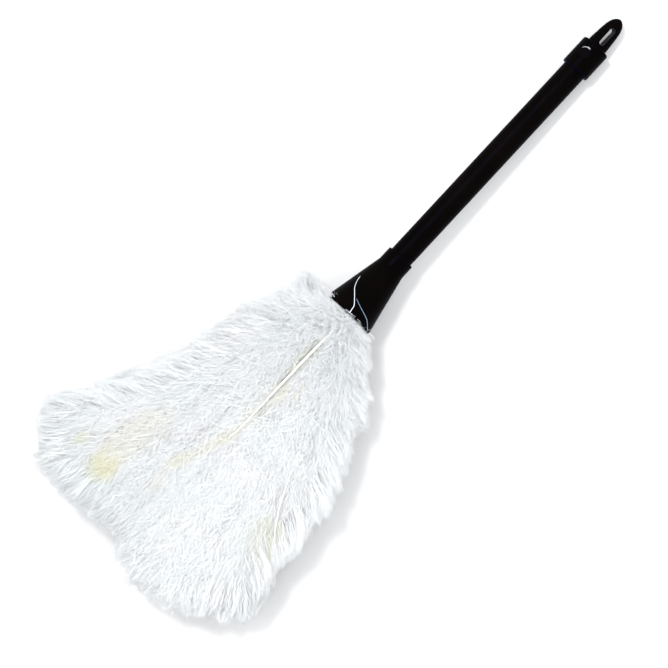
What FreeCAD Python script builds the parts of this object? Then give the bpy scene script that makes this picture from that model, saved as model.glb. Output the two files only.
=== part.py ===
"""Feather duster: a black plastic handle with a flared ferrule, and three rows of white feathers tied round a turned wooden core.

Everything is in millimetres. The duster lies at rest on a flat surface, z = 0: the end cap's skirt and the lowest feathers touch it.
+X runs along the duster from the hang-up tab towards the feathers, +Z is up, and the origin is under the middle of the bounding box.

The handle is drawn first in a tool frame: its axis is X, the ferrule's mouth is at x = 0, the feathers are at x > 0.
It is then tilted by TILT_DEG, because the feathers hold the ferrule up higher than the end cap, and moved to its place.
The feathers are drawn where they lie, because the lowest ones are pressed flat by the surface.
"""

import FreeCAD
import Part
import math
import os

V = FreeCAD.Vector

# ---------------------------------------------------------------- handle tube
TUBE_R = 7.0            # outside radius of the grip tube
TUBE_BORE_R = 5.8       # inside radius
TUBE_FRONT_X = -33.7    # front end, inside the ferrule's neck
TUBE_BACK_X = -199.0    # back end, inside the end cap

# ---------------------------------------------------------------- ferrule
MOUTH_R = 15.75         # outside radius of the flared rim
FERRULE_WALL = 1.2
NECK_R = 8.3            # outside radius of the collar on the tube
CONE_LENGTH = 35.4
NECK_LENGTH = 8.0
RIM_ROUND = 0.55

# ---------------------------------------------------------------- end cap
SKIRT_R = 8.5
SKIRT_FRONT_X = -185.0
SKIRT_BACK_X = -202.7
BOSS_X = -194.9         # a low round boss moulded on the skirt
BOSS_R = 3.5
BOSS_TOP_R = 8.95       # how far its flat top stands from the axis
BOSS_ROLL_DEG = 16.0    # which way round the skirt it faces, from straight up towards -Y
TAB_LENGTH = 20.2
TAB_PROFILE = [(0.0, 6.1), (4.9, 5.85), (8.9, 5.5), (12.9, 5.05), (15.3, 4.55), (17.2, 3.8), (18.7, 2.75), (19.7, 1.6), (20.2, 0.0)]
TAB_THIN = 0.79         # the tab's thickness as a share of its width
SLOT_WIDTH = 3.3
SLOT_NEAR, SLOT_FAR = 1.6, 13.6   # ends of the hang-up slot, from the skirt's end face
TAB_ROLL_DEG = -13.0    # how far the tab is turned about the handle's axis

# ---------------------------------------------------------------- wooden core
SHANK_R = 5.8           # glued in the tube's bore
SHANK_BACK_X = -86.0
SHOULDER_X = -24.0
SPIGOT_R = 2.6          # the thin front end that the feathers are tied round
SPIGOT_FRONT_X = -8.0

# ---------------------------------------------------------------- quills and ties
QUILL_R = 0.95
BUTT_X = -23.0          # where every quill ends, against the core's shoulder
ROWS = ("inner", "middle", "outer")
ROW_COUNT = {"inner": 7, "middle": 13, "outer": 20}
ROW_R_BACK = {"inner": 3.6, "middle": 6.1, "outer": 8.6}     # ring radius at BUTT_X
ROW_R_MOUTH = {"inner": 3.9, "middle": 6.9, "outer": 9.6}    # ring radius at the mouth
TIES = {  # first and last x, inside radius, cord diameter
    "inner": (-19.6, -16.0, 4.68, 0.5),
    "middle": (-16.6, -12.9, 7.42, 0.45),
    "outer": (-16.4, -11.0, 10.13, 0.6),
}
# Where the quills flex: a point on the handle's axis, and how far from it butt and feather part.
# Feathers that only turn about the upright axis through it part on a cylinder, and those that also lift part on a sphere.
FLEX_X = -11.5
FLEX_R = 11.5
FLEX_GAP = 0.3

# ---------------------------------------------------------------- how it lies
TILT_DEG = 3.7
MOUTH_Z = -SKIRT_BACK_X * math.sin(math.radians(TILT_DEG)) + SKIRT_R * math.cos(math.radians(TILT_DEG))

# ---------------------------------------------------------------- plume, as curves of x from the mouth
# Half width of the outer row on each side, and its top, middle and bottom height.
WIDTH_RIGHT = [(0, 9.6), (20, 20.5), (45, 35.0), (80, 49.0), (110, 58.0), (142, 64.0), (165, 66.0), (195, 66.0)]
WIDTH_LEFT = [(0, 9.6), (20, 21.5), (45, 37.0), (80, 52.0), (110, 65.5), (147, 84.0), (175, 93.0), (195, 96.0)]
TOP = {
    "outer": [(0, 31.1), (20, 39.5), (45, 49.0), (80, 57.0), (115, 58.0), (150, 52.0), (195, 38.0)],
    "middle": [(0, 28.4), (20, 32.5), (45, 38.0), (80, 42.5), (115, 42.5), (150, 38.0), (195, 28.0)],
    "inner": [(0, 25.4), (20, 27.0), (45, 29.0), (80, 30.0), (115, 28.5), (150, 25.5), (195, 20.0)],
}
MIDDLE = [(0, 21.5), (20, 21.0), (45, 20.0), (80, 18.5), (115, 17.0), (150, 14.5), (195, 11.0)]
BOTTOM = {
    "outer": [(0, 11.9), (14, 6.4), (32, 1.6), (48, 0.52), (80, 0.52), (195, 0.52)],
    "middle": [(0, 14.6), (20, 10.6), (45, 6.6), (80, 5.2), (115, 4.6), (150, 4.2), (195, 3.8)],
    "inner": [(0, 17.6), (20, 16.0), (45, 13.6), (80, 11.6), (115, 10.4), (150, 9.2), (195, 8.0)],
}
SHARE = {"outer": 1.0, "middle": 0.64, "inner": 0.29}   # of the outer row's half width, from SHARE_FROM on
SHARE_FROM = 30.0
# The plume's far edge: x of the longest feather tip for each y. The left lobe ends in a corner and the right lobe stands further out.
FAR_EDGE = [(-110, 138), (-92, 148), (-80, 160), (-68, 169), (-50, 173), (-20, 173), (-6, 174), (4, 184), (12, 188), (34, 186), (50, 178), (64, 163), (80, 148)]
BLADE_HALF_THICK = 0.45
BLADE_MAX_HALF = 12.5
BLADE_FILL = 0.44       # half width of a blade as a share of the distance to the next feather
BLADE_STARTS = 6.0      # x where the vane begins to widen
BLADE_FULL = 55.0
AROUND = 6              # corners of each section of a feather

# ---------------------------------------------------------------- small helpers


def curve(points, x):
    """Smooth value at x through the points, with no overshoot."""
    if x <= points[0][0]:
        return float(points[0][1])
    if x >= points[-1][0]:
        return float(points[-1][1])
    n = len(points)
    d = [(points[i + 1][1] - points[i][1]) / float(points[i + 1][0] - points[i][0]) for i in range(n - 1)]
    m = [d[0]] + [0.0 if d[i - 1] * d[i] <= 0 else 2 * d[i - 1] * d[i] / (d[i - 1] + d[i]) for i in range(1, n - 1)] + [d[-1]]
    for i in range(n - 1):
        x0, x1 = points[i][0], points[i + 1][0]
        if x <= x1:
            h = float(x1 - x0)
            t = (x - x0) / h
            return (
                (2 * t**3 - 3 * t**2 + 1) * points[i][1]
                + (t**3 - 2 * t**2 + t) * h * m[i]
                + (-2 * t**3 + 3 * t**2) * points[i + 1][1]
                + (t**3 - t**2) * h * m[i + 1]
            )


def revolved(profile):
    """A solid of revolution about the X axis, from its (x, r) outline."""
    pts = [V(x, 0, r) for x, r in profile]
    wire = Part.makePolygon(pts + [pts[0]])
    return Part.Face(wire).revolve(V(0, 0, 0), V(1, 0, 0), 360)


def rounded(solid, radius, test):
    """The solid with the round edges that pass the test filleted."""
    edges = [e for e in solid.Edges if test(e)]
    return solid.makeFillet(radius, edges) if edges else solid


def circle_at(e, x, r, tol=0.02):
    c = e.Curve
    return isinstance(c, Part.Circle) and abs(c.Center.x - x) < tol and abs(c.Radius - r) < tol


TILT = FreeCAD.Placement(V(0, 0, MOUTH_Z), FreeCAD.Rotation(V(0, 1, 0), -TILT_DEG))


def placed(shape):
    """From the tool frame to where the handle lies."""
    made = shape.copy()
    made.Placement = TILT.multiply(made.Placement)
    return made


def at(x, y, z):
    """A tool-frame point where the handle lies."""
    return TILT.multVec(V(x, y, z))


# ---------------------------------------------------------------- handle pieces


def handle_tube():
    tube = Part.makeCylinder(TUBE_R, TUBE_FRONT_X - TUBE_BACK_X, V(TUBE_BACK_X, 0, 0), V(1, 0, 0))
    bore = Part.makeCylinder(TUBE_BORE_R, TUBE_FRONT_X - TUBE_BACK_X, V(TUBE_BACK_X, 0, 0), V(1, 0, 0))
    return tube.cut(bore)


def ferrule():
    slope = (MOUTH_R - NECK_R) / CONE_LENGTH
    inside = MOUTH_R - FERRULE_WALL
    back = -CONE_LENGTH - NECK_LENGTH
    meet = -(inside - TUBE_R) / slope
    body = revolved(
        [(0, inside), (0, MOUTH_R), (-CONE_LENGTH, NECK_R), (back, NECK_R), (back, TUBE_R), (meet, TUBE_R)]
    )
    body = rounded(body, RIM_ROUND, lambda e: circle_at(e, 0, inside) or circle_at(e, 0, MOUTH_R))
    return rounded(body, 0.4, lambda e: circle_at(e, back, NECK_R))


def end_cap():
    skirt = revolved(
        [
            (SKIRT_FRONT_X, TUBE_R), (SKIRT_FRONT_X, SKIRT_R), (SKIRT_BACK_X, SKIRT_R),
            (SKIRT_BACK_X, 0), (TUBE_BACK_X, 0), (TUBE_BACK_X, TUBE_R),
        ]
    )
    skirt = rounded(skirt, 0.9, lambda e: circle_at(e, SKIRT_BACK_X, SKIRT_R))
    skirt = rounded(skirt, 0.35, lambda e: circle_at(e, SKIRT_FRONT_X, SKIRT_R))
    spline = Part.BSplineCurve()
    spline.interpolate([V(SKIRT_BACK_X - s, 0, r) for s, r in TAB_PROFILE], InitialTangent=V(-1, 0, 0), FinalTangent=V(0, 0, -1), PeriodicFlag=False)
    inner_x = SKIRT_BACK_X + 1.5
    outline = Part.Wire(
        [
            Part.makeLine(V(inner_x, 0, 0), V(inner_x, 0, TAB_PROFILE[0][1])),
            Part.makeLine(V(inner_x, 0, TAB_PROFILE[0][1]), V(SKIRT_BACK_X, 0, TAB_PROFILE[0][1])),
            spline.toShape(),
            Part.makeLine(V(SKIRT_BACK_X - TAB_LENGTH, 0, 0), V(inner_x, 0, 0)),
        ]
    )
    tab = Part.Face(outline).revolve(V(0, 0, 0), V(1, 0, 0), 360)
    squeeze = FreeCAD.Matrix()
    squeeze.A33 = TAB_THIN
    tab = tab.transformGeometry(squeeze)
    # the slot goes right through the tab's thin way, with round ends
    r = SLOT_WIDTH / 2
    near, far = SKIRT_BACK_X - SLOT_NEAR - r, SKIRT_BACK_X - SLOT_FAR + r
    slot = Part.makeBox(near - far, SLOT_WIDTH, 30, V(far, -r, -15))
    slot = slot.fuse([Part.makeCylinder(r, 30, V(x, 0, -15), V(0, 0, 1)) for x in (near, far)])
    cap = skirt.fuse(tab).removeSplitter().cut(slot)
    cap.rotate(V(0, 0, 0), V(1, 0, 0), TAB_ROLL_DEG)
    boss = Part.makeCylinder(BOSS_R, BOSS_TOP_R - TUBE_R - 0.3, V(BOSS_X, 0, TUBE_R + 0.3), V(0, 0, 1))
    boss = rounded(boss, 0.3, lambda e: isinstance(e.Curve, Part.Circle) and abs(e.Curve.Center.z - BOSS_TOP_R) < 0.02)
    boss.rotate(V(0, 0, 0), V(1, 0, 0), BOSS_ROLL_DEG)
    return cap.fuse(boss).removeSplitter()


def core():
    return revolved(
        [
            (SHANK_BACK_X, 0), (SHANK_BACK_X, SHANK_R - 0.8), (SHANK_BACK_X + 0.8, SHANK_R),
            (SHOULDER_X, SHANK_R), (SHOULDER_X, SPIGOT_R), (SPIGOT_FRONT_X - 0.6, SPIGOT_R),
            (SPIGOT_FRONT_X, SPIGOT_R - 0.6), (SPIGOT_FRONT_X, 0),
        ]
    )


def adhesive():
    """Set hot-melt between the core's shank and the ferrule, behind the quills."""
    slope = (MOUTH_R - NECK_R) / CONE_LENGTH
    inside = MOUTH_R - FERRULE_WALL
    front = BUTT_X - 0.3
    return revolved(
        [(TUBE_FRONT_X, SHANK_R), (TUBE_FRONT_X, inside + slope * TUBE_FRONT_X), (front, inside + slope * front), (front, SHANK_R)]
    )


def tie(row):
    """Cord wound side by side round one row of quills: one solid with a ridge for each turn."""
    x0, x1, r, d = TIES[row]
    turns = int((x1 - x0) / d)
    x1 = x0 + turns * d
    outline = [(x0, r), (x1, r)]
    for i in range(turns):
        for step in range(7):
            a = math.pi * step / 6
            if step == 0 and i > 0:
                continue
            outline.append((x1 - i * d - d / 2 + d / 2 * math.cos(a), r + d * (0.45 + 0.55 * math.sin(a))))
    return revolved(outline)


# ---------------------------------------------------------------- where the feathers run


def half_width(row, side, x):
    """Half width of a row on the right (side 1) or the left (side -1)."""
    full = curve(WIDTH_RIGHT if side > 0 else WIDTH_LEFT, x)
    start = ROW_R_MOUTH[row]
    if row == "outer":
        return full
    t = min(1.0, max(0.0, x / SHARE_FROM))
    t = t * t * (3 - 2 * t)
    near = start + x * 0.25
    return near * (1 - t) + SHARE[row] * full * t


def ring_point(row, angle, x):
    """(y, z) of the row's ring at x, at an angle from +Y towards +Z."""
    c, s = math.cos(angle), math.sin(angle)
    middle = curve(MIDDLE, x)
    y = half_width(row, 1 if c >= 0 else -1, x) * c
    reach = curve(TOP[row], x) - middle if s >= 0 else middle - curve(BOTTOM[row], x)
    return y, middle + reach * s


def angles_of(row):
    """Angles that space a row's feathers evenly round its ring where the plume is widest."""
    steps, x = 1440, 115.0
    pts = [ring_point(row, 2 * math.pi * i / steps, x) for i in range(steps + 1)]
    along = [0.0]
    for a, b in zip(pts, pts[1:]):
        along.append(along[-1] + math.hypot(b[0] - a[0], b[1] - a[1]))
    count = ROW_COUNT[row]
    offset = {"outer": 0.5, "middle": 0.18, "inner": 0.25}[row]
    # the top feather of the outer row runs along the middle of the plume
    quarter = along[steps // 4]
    found = []
    for k in range(count):
        want = (quarter + (k + (0.0 if row == "outer" else offset)) * along[-1] / count) % along[-1]
        i = next(j for j in range(steps) if along[j + 1] >= want)
        f = (want - along[i]) / (along[i + 1] - along[i])
        found.append(2 * math.pi * (i + f) / steps)
    return found


def wobble(seed):
    """A repeatable number from -1 to 1."""
    return math.sin(seed * 12.9898 + 4.1414) * 43758.5453 % 2.0 - 1.0


def feather_end(row, index, angle):
    """x of the feather's tip: where its line meets the plume's far edge, or a little short of it."""
    shorter = {"outer": 0.0, "middle": 5.0, "inner": 9.0}[row] + (wobble(index + 10 * len(row)) + 1) * {"outer": 2.0, "middle": 4.0, "inner": 5.0}[row]
    x = 120.0
    while x < 200:
        y, _ = ring_point(row, angle, x)
        if x >= curve(FAR_EDGE, y):
            break
        x += 0.5
    return x - shorter


def quill_at_mouth(row, angle):
    """(y, z) in the tool frame of a quill at the mouth: spread evenly round its ring by its place in the row."""
    r = ROW_R_MOUTH[row]
    return r * math.cos(angle), r * math.sin(angle)


def centre(row, mouth_angle, ring_angle, x):
    """(y, z) of a feather's middle line at x: a quill near the mouth, then the ring."""
    qy, qz = ROW_R_MOUTH[row] * math.cos(mouth_angle), ROW_R_MOUTH[row] * math.sin(mouth_angle)
    tilt = math.tan(math.radians(TILT_DEG))
    near_y, near_z = qy * (1 + 0.006 * x), MOUTH_Z + tilt * x + qz * (1 + 0.006 * x)
    ry, rz = ring_point(row, ring_angle, max(0.0, x))
    t = min(1.0, max(0.0, (x + 2.0) / 30.0))
    t = t * t * (3 - 2 * t)
    return near_y * (1 - t) + ry * t, near_z * (1 - t) + rz * t


def tuft(row, k):
    """Which tuft a feather moves with: the outer row has a top, a left (+Y) and a right (-Y) tuft, and the rest move as one."""
    if row != "outer" or k == 10:
        return "plume"
    return "top" if k in (18, 19, 0, 1, 2) else ("left" if k > 10 else "right")


def flex_reach(f, y, z):
    """How far off the flexing axes a quill's middle line lies, for a line at (y, z) in the tool frame."""
    return math.hypot(y, z) if f["tuft"] == "top" else abs(y)


def feather_table():
    """Every feather: its row, number, tuft, angle at the mouth, angle round the plume and tip."""
    table = []
    for row in ROWS:
        ring = angles_of(row)
        n = len(ring)
        first = ring[0]
        for k, a in enumerate(ring):
            mouth = first + 2 * math.pi * k / n
            table.append({"row": row, "k": k, "mouth": mouth, "ring": a, "end": feather_end(row, k, a), "tuft": tuft(row, k), "name": "feather_%s_%02d" % (row, k + 1)})
    return table


def section(c, across, thick, a, b):
    """Corners of a flat six-sided section: half width a along across, half thickness b along thick."""
    a = max(a, b)
    pts = []
    for i in range(AROUND):
        t = 2 * math.pi * i / AROUND
        pts.append(c + across * (a * math.cos(t)) + thick * (b * math.sin(t) * 1.1547))
    return pts


def skin(sections):
    """A closed faceted solid through the sections, with flat ends."""
    n = len(sections[0])
    faces = []
    for s0, s1 in zip(sections, sections[1:]):
        for i in range(n):
            j = (i + 1) % n
            for tri in ((s0[i], s0[j], s1[j]), (s0[i], s1[j], s1[i])):
                faces.append(Part.Face(Part.makePolygon([*tri, tri[0]])))
    for ring in (sections[0], sections[-1]):
        faces.append(Part.Face(Part.makePolygon(ring + [ring[0]])))
    shell = Part.makeShell(faces)
    shell.sewShape()
    solid = Part.makeSolid(shell)
    if solid.Volume < 0:
        solid.reverse()
    return solid


def feather(f, neighbours):
    """One feather beyond the flexing point: a round quill that opens into a thin curved vane."""
    row = f["row"]
    r0 = ROW_R_MOUTH[row]
    reach = flex_reach(f, r0 * math.cos(f["mouth"]), r0 * math.sin(f["mouth"]))
    start = FLEX_X + math.sqrt((FLEX_R + FLEX_GAP) ** 2 - max(0.0, reach - QUILL_R - 0.25) ** 2)
    end = f["end"]
    stations = [start, max(start + 2.5, 3.0), 10.0, 18.0, 28.0, 40.0, 55.0]
    x = 75.0
    while x < end - 30:
        stations.append(x)
        x += 20.0
    stations += [end - 22.0, end - 12.0, end - 6.0, end - 2.2, end]
    sections = []
    for x in stations:
        y, z = centre(row, f["mouth"], f["ring"], x)
        gap, across = 1e9, None
        sides = []
        for other in neighbours:
            oy, oz = centre(row, other["mouth"], other["ring"], x)
            gap = min(gap, math.hypot(oy - y, oz - z))
            sides.append(V(0, oy, oz))
        across = (sides[1] - sides[0]).normalize()
        thick = V(1, 0, 0).cross(across)
        t = min(1.0, max(0.0, (x - BLADE_STARTS) / (BLADE_FULL - BLADE_STARTS)))
        grown = QUILL_R + (min(BLADE_MAX_HALF, BLADE_FILL * gap) - QUILL_R) * (t * t * (3 - 2 * t))
        left = end - x
        round_end = math.sqrt(max(0.0, 1 - max(0.0, 1 - (left + 0.35) / 30.0) ** 2.4))
        a = max(0.6, grown * round_end) if t > 0 else QUILL_R
        a = min(a, max(QUILL_R, BLADE_FILL * gap))
        b = QUILL_R + (BLADE_HALF_THICK - QUILL_R) * min(1.0, max(0.0, (x - 4) / 40.0))
        b = min(b, 0.28 + 0.17 * min(1.0, left / 30.0)) if left < 30 else b
        sections.append(section(V(x, y, z), across, thick, a, b))
    return skin(sections)


def butt(f):
    """The hidden end of the same quill, from the core's shoulder to the flexing point."""
    row = f["row"]
    c, s = math.cos(f["mouth"]), math.sin(f["mouth"])
    back = at(BUTT_X, ROW_R_BACK[row] * c, ROW_R_BACK[row] * s)
    mouth = at(0.0, ROW_R_MOUTH[row] * c, ROW_R_MOUTH[row] * s)
    reach = flex_reach(f, ROW_R_MOUTH[row] * c, ROW_R_MOUTH[row] * s) + QUILL_R + 0.05
    stop = FLEX_X + math.sqrt(FLEX_R**2 - reach**2)
    line = mouth - back
    length = line.Length * (stop - 0.15 - back.x) / (mouth.x - back.x)
    return Part.makeCylinder(QUILL_R, length, back, line)


# ---------------------------------------------------------------- the whole duster


def main():
    os.makedirs("parts", exist_ok=True)
    made = {
        "handle_tube": placed(handle_tube()),
        "ferrule": placed(ferrule()),
        "end_cap": placed(end_cap()),
        "core_stick": placed(core()),
        "adhesive_plug": placed(adhesive()),
    }
    for row in ROWS:
        made["tie_" + row] = placed(tie(row))
    table = feather_table()
    for row in ROWS:
        members = [f for f in table if f["row"] == row]
        made["quill_butts_" + row] = Part.makeCompound([butt(f) for f in members])
        for i, f in enumerate(members):
            made[f["name"]] = feather(f, (members[i - 1], members[(i + 1) % len(members)]))
    boxes = [shape.optimalBoundingBox(False, False) for shape in made.values()]
    low = [min(b.XMin for b in boxes), min(b.YMin for b in boxes), min(b.ZMin for b in boxes)]
    high = [max(b.XMax for b in boxes), max(b.YMax for b in boxes), max(b.ZMax for b in boxes)]
    shift = V(-(low[0] + high[0]) / 2, -(low[1] + high[1]) / 2, -low[2])
    print("shift", [round(v, 4) for v in shift], "size", [round(b - a, 2) for a, b in zip(low, high)])
    for name, shape in made.items():
        shape.translate(shift)
        for solid in shape.Solids:
            if not solid.isValid() or solid.Volume <= 0:
                print("check", name, solid.isValid(), round(solid.Volume, 2))
        shape.exportStep("parts/%s.step" % name)
    flex = at(FLEX_X, 0, 0) + shift
    print("flexing point", [round(v, 4) for v in flex])
    print(len(made), "nodes;", sum(len(s.Solids) for s in made.values()), "solids")


if __name__ == "__main__":
    main()
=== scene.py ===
"""Feather duster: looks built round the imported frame. Millimetre tables are the CAD's own curves; everything made here is in metres."""
import bpy
import math
import numpy as np
from mathutils import Matrix, Vector


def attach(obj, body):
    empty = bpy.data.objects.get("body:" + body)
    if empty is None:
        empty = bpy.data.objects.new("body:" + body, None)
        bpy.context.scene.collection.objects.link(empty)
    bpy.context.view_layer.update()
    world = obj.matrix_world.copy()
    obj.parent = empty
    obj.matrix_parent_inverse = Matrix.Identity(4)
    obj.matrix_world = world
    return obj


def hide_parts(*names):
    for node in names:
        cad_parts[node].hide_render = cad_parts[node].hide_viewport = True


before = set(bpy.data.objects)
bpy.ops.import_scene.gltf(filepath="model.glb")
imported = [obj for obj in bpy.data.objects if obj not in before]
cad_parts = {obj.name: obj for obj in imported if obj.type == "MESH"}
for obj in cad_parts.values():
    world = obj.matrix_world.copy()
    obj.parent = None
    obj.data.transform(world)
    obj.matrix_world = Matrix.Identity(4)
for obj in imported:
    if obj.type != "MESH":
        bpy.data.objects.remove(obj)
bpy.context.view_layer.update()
SCENE = bpy.context.scene
SCENE.view_settings.view_transform = "Standard"
SCENE.view_settings.look = "None"
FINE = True

# ------------------------------------------------------------------ the CAD's driving curves, in mm
SHIFT = np.array([17.8275, 9.7909, -0.0562])
TILT_DEG = 3.7
TILT = math.radians(TILT_DEG)
MOUTH_Z = 202.7 * math.sin(TILT) + 8.5 * math.cos(TILT)
MOUTH_R, CONE_LENGTH, NECK_R = 15.75, 35.4, 8.3
ROWS = ("inner", "middle", "outer")
ROW_COUNT = {"inner": 7, "middle": 13, "outer": 20}
ROW_R_MOUTH = {"inner": 3.9, "middle": 6.9, "outer": 9.6}
WIDTH_RIGHT = [(0, 9.6), (20, 20.5), (45, 35.0), (80, 49.0), (110, 58.0), (142, 64.0), (165, 66.0), (195, 66.0)]
WIDTH_LEFT = [(0, 9.6), (20, 21.5), (45, 37.0), (80, 52.0), (110, 65.5), (147, 84.0), (175, 93.0), (195, 96.0)]
TOP = {
    "outer": [(0, 31.1), (20, 39.5), (45, 49.0), (80, 57.0), (115, 58.0), (150, 52.0), (195, 38.0)],
    "middle": [(0, 28.4), (20, 32.5), (45, 38.0), (80, 42.5), (115, 42.5), (150, 38.0), (195, 28.0)],
    "inner": [(0, 25.4), (20, 27.0), (45, 29.0), (80, 30.0), (115, 28.5), (150, 25.5), (195, 20.0)],
}
MIDDLE = [(0, 21.5), (20, 21.0), (45, 20.0), (80, 18.5), (115, 17.0), (150, 14.5), (195, 11.0)]
BOTTOM = {
    "outer": [(0, 11.9), (14, 6.4), (32, 1.6), (48, 0.52), (80, 0.52), (195, 0.52)],
    "middle": [(0, 14.6), (20, 10.6), (45, 6.6), (80, 5.2), (115, 4.6), (150, 4.2), (195, 3.8)],
    "inner": [(0, 17.6), (20, 16.0), (45, 13.6), (80, 11.6), (115, 10.4), (150, 9.2), (195, 8.0)],
}
SHARE = {"outer": 1.0, "middle": 0.64, "inner": 0.29}
SHARE_FROM = 30.0
FAR_EDGE = [(-110, 138), (-92, 148), (-80, 160), (-68, 169), (-50, 173), (-20, 173), (-6, 174), (4, 184), (12, 188), (34, 186), (50, 178), (64, 163), (80, 148)]


def curve(points, x):
    if x <= points[0][0]:
        return float(points[0][1])
    if x >= points[-1][0]:
        return float(points[-1][1])
    n = len(points)
    d = [(points[i + 1][1] - points[i][1]) / float(points[i + 1][0] - points[i][0]) for i in range(n - 1)]
    m = [d[0]] + [0.0 if d[i - 1] * d[i] <= 0 else 2 * d[i - 1] * d[i] / (d[i - 1] + d[i]) for i in range(1, n - 1)] + [d[-1]]
    for i in range(n - 1):
        x0, x1 = points[i][0], points[i + 1][0]
        if x <= x1:
            h = float(x1 - x0)
            t = (x - x0) / h
            return ((2 * t**3 - 3 * t**2 + 1) * points[i][1] + (t**3 - 2 * t**2 + t) * h * m[i]
                    + (-2 * t**3 + 3 * t**2) * points[i + 1][1] + (t**3 - t**2) * h * m[i + 1])


def half_width(row, side, x):
    full = curve(WIDTH_RIGHT if side > 0 else WIDTH_LEFT, x)
    if row == "outer":
        return full
    t = min(1.0, max(0.0, x / SHARE_FROM))
    t = t * t * (3 - 2 * t)
    return (ROW_R_MOUTH[row] + x * 0.25) * (1 - t) + SHARE[row] * full * t


def ring_point(row, angle, x):
    c, s = math.cos(angle), math.sin(angle)
    middle = curve(MIDDLE, x)
    y = half_width(row, 1 if c >= 0 else -1, x) * c
    reach = curve(TOP[row], x) - middle if s >= 0 else middle - curve(BOTTOM[row], x)
    return y, middle + reach * s


def angles_of(row):
    steps, x = 1440, 115.0
    pts = [ring_point(row, 2 * math.pi * i / steps, x) for i in range(steps + 1)]
    along = [0.0]
    for a, b in zip(pts, pts[1:]):
        along.append(along[-1] + math.hypot(b[0] - a[0], b[1] - a[1]))
    count = ROW_COUNT[row]
    offset = {"outer": 0.0, "middle": 0.18, "inner": 0.25}[row]
    quarter = along[steps // 4]
    found = []
    for k in range(count):
        want = (quarter + (k + offset) * along[-1] / count) % along[-1]
        i = next(j for j in range(steps) if along[j + 1] >= want)
        f = (want - along[i]) / (along[i + 1] - along[i])
        found.append(2 * math.pi * (i + f) / steps)
    return found


def wobble(seed):
    return math.sin(seed * 12.9898 + 4.1414) * 43758.5453 % 2.0 - 1.0


def feather_end(row, index, angle):
    shorter = {"outer": 0.0, "middle": 5.0, "inner": 9.0}[row] + (wobble(index + 10 * len(row)) + 1) * {"outer": 2.0, "middle": 4.0, "inner": 5.0}[row]
    x = 120.0
    while x < 200:
        y, _ = ring_point(row, angle, x)
        if x >= curve(FAR_EDGE, y):
            break
        x += 0.5
    return x - shorter


def centre(row, mouth_angle, ring_angle, x):
    qy, qz = ROW_R_MOUTH[row] * math.cos(mouth_angle), ROW_R_MOUTH[row] * math.sin(mouth_angle)
    near_y, near_z = qy * (1 + 0.006 * x), MOUTH_Z + math.tan(TILT) * x + qz * (1 + 0.006 * x)
    ry, rz = ring_point(row, ring_angle, max(0.0, x))
    t = min(1.0, max(0.0, (x + 2.0) / 30.0))
    t = t * t * (3 - 2 * t)
    return near_y * (1 - t) + ry * t, near_z * (1 - t) + rz * t


def tuft(row, k):
    if row != "outer" or k == 10:
        return "plume"
    return "top_tuft" if k in (18, 19, 0, 1, 2) else ("left_tuft" if k > 10 else "right_tuft")


def on_handle(x, y, z):
    """A point of the handle's own frame, mm, where the handle lies, in metres."""
    c, s = math.cos(TILT), math.sin(TILT)
    return np.array([x * c - z * s + SHIFT[0], y + SHIFT[1], x * s + z * c + MOUTH_Z + SHIFT[2]]) / 1000


# ------------------------------------------------------------------ camera, straight above
RIGHT = Vector((-0.68, 0.7332, 0.0)).normalized()
UP = Vector((-0.7332, -0.68, 0.0)).normalized()
mouth = Vector(on_handle(0, 0, 0))
PX = 0.00055
DISTANCE = 2.6
target = mouth + RIGHT * (-13.4 * PX) - UP * (19.0 * PX)
cam_data = bpy.data.cameras.new("camera")
cam = bpy.data.objects.new("camera", cam_data)
SCENE.collection.objects.link(cam)
cam_data.sensor_fit = "HORIZONTAL"
cam_data.sensor_width = 36.0
cam_data.lens = 36.0 * DISTANCE / (668 * PX)
cam_data.clip_start, cam_data.clip_end = 0.05, 20.0
m = Matrix((RIGHT, UP, Vector((0, 0, 1)))).transposed().to_4x4()
m.translation = Vector((target.x, target.y, mouth.z + DISTANCE))
cam.matrix_world = m
SCENE.camera = cam

# ------------------------------------------------------------------ materials


def new_material(name):
    mat = bpy.data.materials.new(name)
    mat.use_nodes = True
    nt = mat.node_tree
    nt.nodes.clear()
    out = nt.nodes.new("ShaderNodeOutputMaterial")
    p = nt.nodes.new("ShaderNodeBsdfPrincipled")
    nt.links.new(p.outputs[0], out.inputs[0])
    return mat, nt, p


def node(nt, kind, **values):
    n = nt.nodes.new(kind)
    for k, v in values.items():
        if k.startswith("in_"):
            key = k[3:]
            n.inputs[int(key) if key.isdigit() else key.replace("_", " ")].default_value = v
        else:
            setattr(n, k, v)
    return n


def ramp(nt, source, stops):
    n = nt.nodes.new("ShaderNodeValToRGB")
    while len(n.color_ramp.elements) < len(stops):
        n.color_ramp.elements.new(0.5)
    for e, (pos, col) in zip(n.color_ramp.elements, stops):
        e.position = pos
        e.color = (*col, 1.0) if len(col) == 3 else col
    nt.links.new(source, n.inputs[0])
    return n.outputs[0]


def mix(nt, fac, a, b, kind="MIX"):
    n = nt.nodes.new("ShaderNodeMix")
    n.data_type = "RGBA"
    n.blend_type = kind
    for sock, v in ((n.inputs[0], fac), (n.inputs[6], a), (n.inputs[7], b)):
        if hasattr(v, "links"):
            nt.links.new(v, sock)
        else:
            sock.default_value = v if isinstance(v, (int, float)) else (*v, 1.0)
    return n.outputs[2]


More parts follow.
